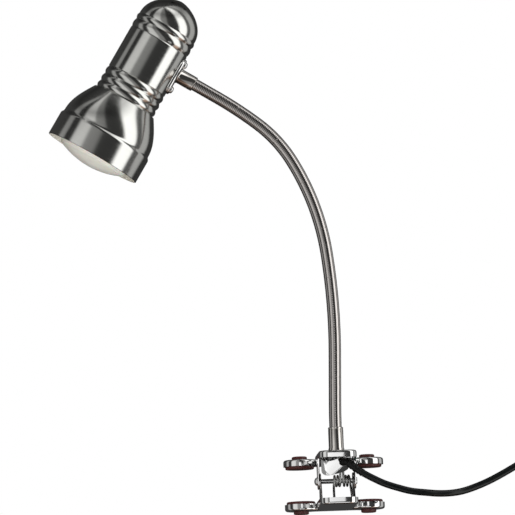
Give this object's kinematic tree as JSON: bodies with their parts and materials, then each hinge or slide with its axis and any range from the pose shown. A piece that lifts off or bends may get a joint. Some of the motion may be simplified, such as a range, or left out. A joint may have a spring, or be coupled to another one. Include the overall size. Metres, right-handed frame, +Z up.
{
  "type": "clip on reading lamp",
  "caption": "Reading lamp with a sprung board clamp, a bendable gooseneck, a flared spot head for a screw-in reflector bulb, and a mains lead with a hand switch and plug.",
  "frame": {"origin": "centre of the left upper pad's gripping face, on the top of the board", "axes": "+X along the board's edge, +Y into the board, +Z up from the board's top face"},
  "size_m": [0.5526, 0.1328, 0.4135],
  "materials": {
    "satin_nickel": "satin",
    "chrome": "polished",
    "hose_steel": "ribbed, polished",
    "pad_rubber": "matt",
    "black_pvc": "glossy",
    "black_plastic": "fine grain",
    "rocker_plastic": "gloss",
    "ceramic_white": "glazed",
    "brass": "bright",
    "opal_glass": "opal",
    "nickel_plate": "polished",
    "zinc_steel": "zinc plated"
  },
  "bodies": {
    "clamp": {"upper_jaw": "chrome", "upper_pads": "pad_rubber", "pivot_pin": "chrome", "jaw_spring": "zinc_steel", "base_ferrule": "nickel_plate", "base_locknut": "zinc_steel", "cable_elbow": "black_pvc", "hose_0": "hose_steel", "lead_0": "black_pvc", "strain_relief": "black_pvc", "cord_run": "black_pvc", "cord_link": "black_pvc", "cord_coil": "black_pvc", "coil_tie": "black_pvc", "cord_tail": "black_pvc", "switch_base": "black_plastic", "switch_cover": "black_plastic", "switch_screws": "zinc_steel", "plug_body": "black_plastic", "plug_pins": "nickel_plate"},
    "lower_jaw": {"lower_jaw": "chrome", "lower_pads": "pad_rubber"},
    "neck_1": {"hose_1": "hose_steel", "lead_1": "black_pvc"},
    "neck_2": {"hose_2": "hose_steel", "lead_2": "black_pvc"},
    "neck_3": {"hose_3": "hose_steel", "lead_3": "black_pvc"},
    "neck_4": {"hose_4": "hose_steel", "lead_4": "black_pvc"},
    "neck_5": {"hose_5": "hose_steel", "lead_5": "black_pvc"},
    "neck_6": {"hose_6": "hose_steel", "lead_6": "black_pvc"},
    "neck_7": {"hose_7": "hose_steel", "lead_7": "black_pvc"},
    "head": {"hose_8": "hose_steel", "lead_8": "black_pvc", "end_cap": "satin_nickel", "shade": "satin_nickel", "neck_bracket": "chrome", "bracket_screws": "chrome", "head_ferrule": "nickel_plate", "head_locknut": "zinc_steel", "holder_strap": "zinc_steel", "holder_nipple": "brass", "holder_nut": "brass", "lampholder_shell": "ceramic_white", "contact_block": "ceramic_white", "terminal_screws": "brass", "screw_shell": "brass", "centre_contact": "brass", "lead_cores": "black_pvc"},
    "bulb": {"bulb_glass": "opal_glass", "bulb_cap": "nickel_plate", "bulb_contact": "black_plastic"},
    "rocker": {"switch_rocker": "rocker_plastic"}
  },
  "joints": [
    {"name": "jaw_open", "type": "hinge", "parent": "clamp", "child": "lower_jaw", "pos_m": [0.027, -0.039, -0.013], "axis": [-1, 0, 0], "range_deg": [-28, 40], "stiffness_Nm_per_rad": 1, "springref_deg": -51.57, "deforming": ["jaw_spring"]},
    {"name": "neck_bend_1", "type": "hinge", "parent": "clamp", "child": "neck_1", "pos_m": [0.02735, -0.05202, 0.04895], "axis": [-0.0523, -0.9986, 0], "range_deg": [-16, 16]},
    {"name": "neck_sway_2", "type": "hinge", "parent": "neck_1", "child": "neck_2", "pos_m": [0.02874, -0.05209, 0.08882], "axis": [0.998, -0.0523, -0.0349], "range_deg": [-16, 16]},
    {"name": "neck_bend_3", "type": "hinge", "parent": "neck_2", "child": "neck_3", "pos_m": [0.02856, -0.05208, 0.12871], "axis": [-0.0523, -0.9986, 0], "range_deg": [-16, 16]},
    {"name": "neck_sway_4", "type": "hinge", "parent": "neck_3", "child": "neck_4", "pos_m": [0.02527, -0.05191, 0.16846], "axis": [0.9912, -0.0519, 0.1219], "range_deg": [-16, 16]},
    {"name": "neck_bend_5", "type": "hinge", "parent": "neck_4", "child": "neck_5", "pos_m": [0.01649, -0.05145, 0.20731], "axis": [-0.0523, -0.9986, 0], "range_deg": [-16, 16]},
    {"name": "neck_sway_6", "type": "hinge", "parent": "neck_5", "child": "neck_6", "pos_m": [0.00015, -0.05059, 0.24363], "axis": [0.8648, -0.0453, 0.5], "range_deg": [-16, 16]},
    {"name": "neck_bend_7", "type": "hinge", "parent": "neck_6", "child": "neck_7", "pos_m": [-0.02558, -0.04924, 0.2738], "axis": [-0.0523, -0.9986, 0], "range_deg": [-16, 16]},
    {"name": "neck_sway_8", "type": "hinge", "parent": "neck_7", "child": "head", "pos_m": [-0.058, -0.04754, 0.29696], "axis": [0.5292, -0.0277, 0.848], "range_deg": [-16, 16]},
    {"name": "bulb_out", "type": "slide", "parent": "head", "child": "bulb", "axis": [-0.5292, 0.0277, -0.848], "range_m": [0, 0.12]},
    {"name": "rocker_tip", "type": "hinge", "parent": "clamp", "child": "rocker", "pos_m": [0.255, -0.03125, 0.013], "axis": [0, -1, 0], "range_deg": [0, 16]}
  ]
}
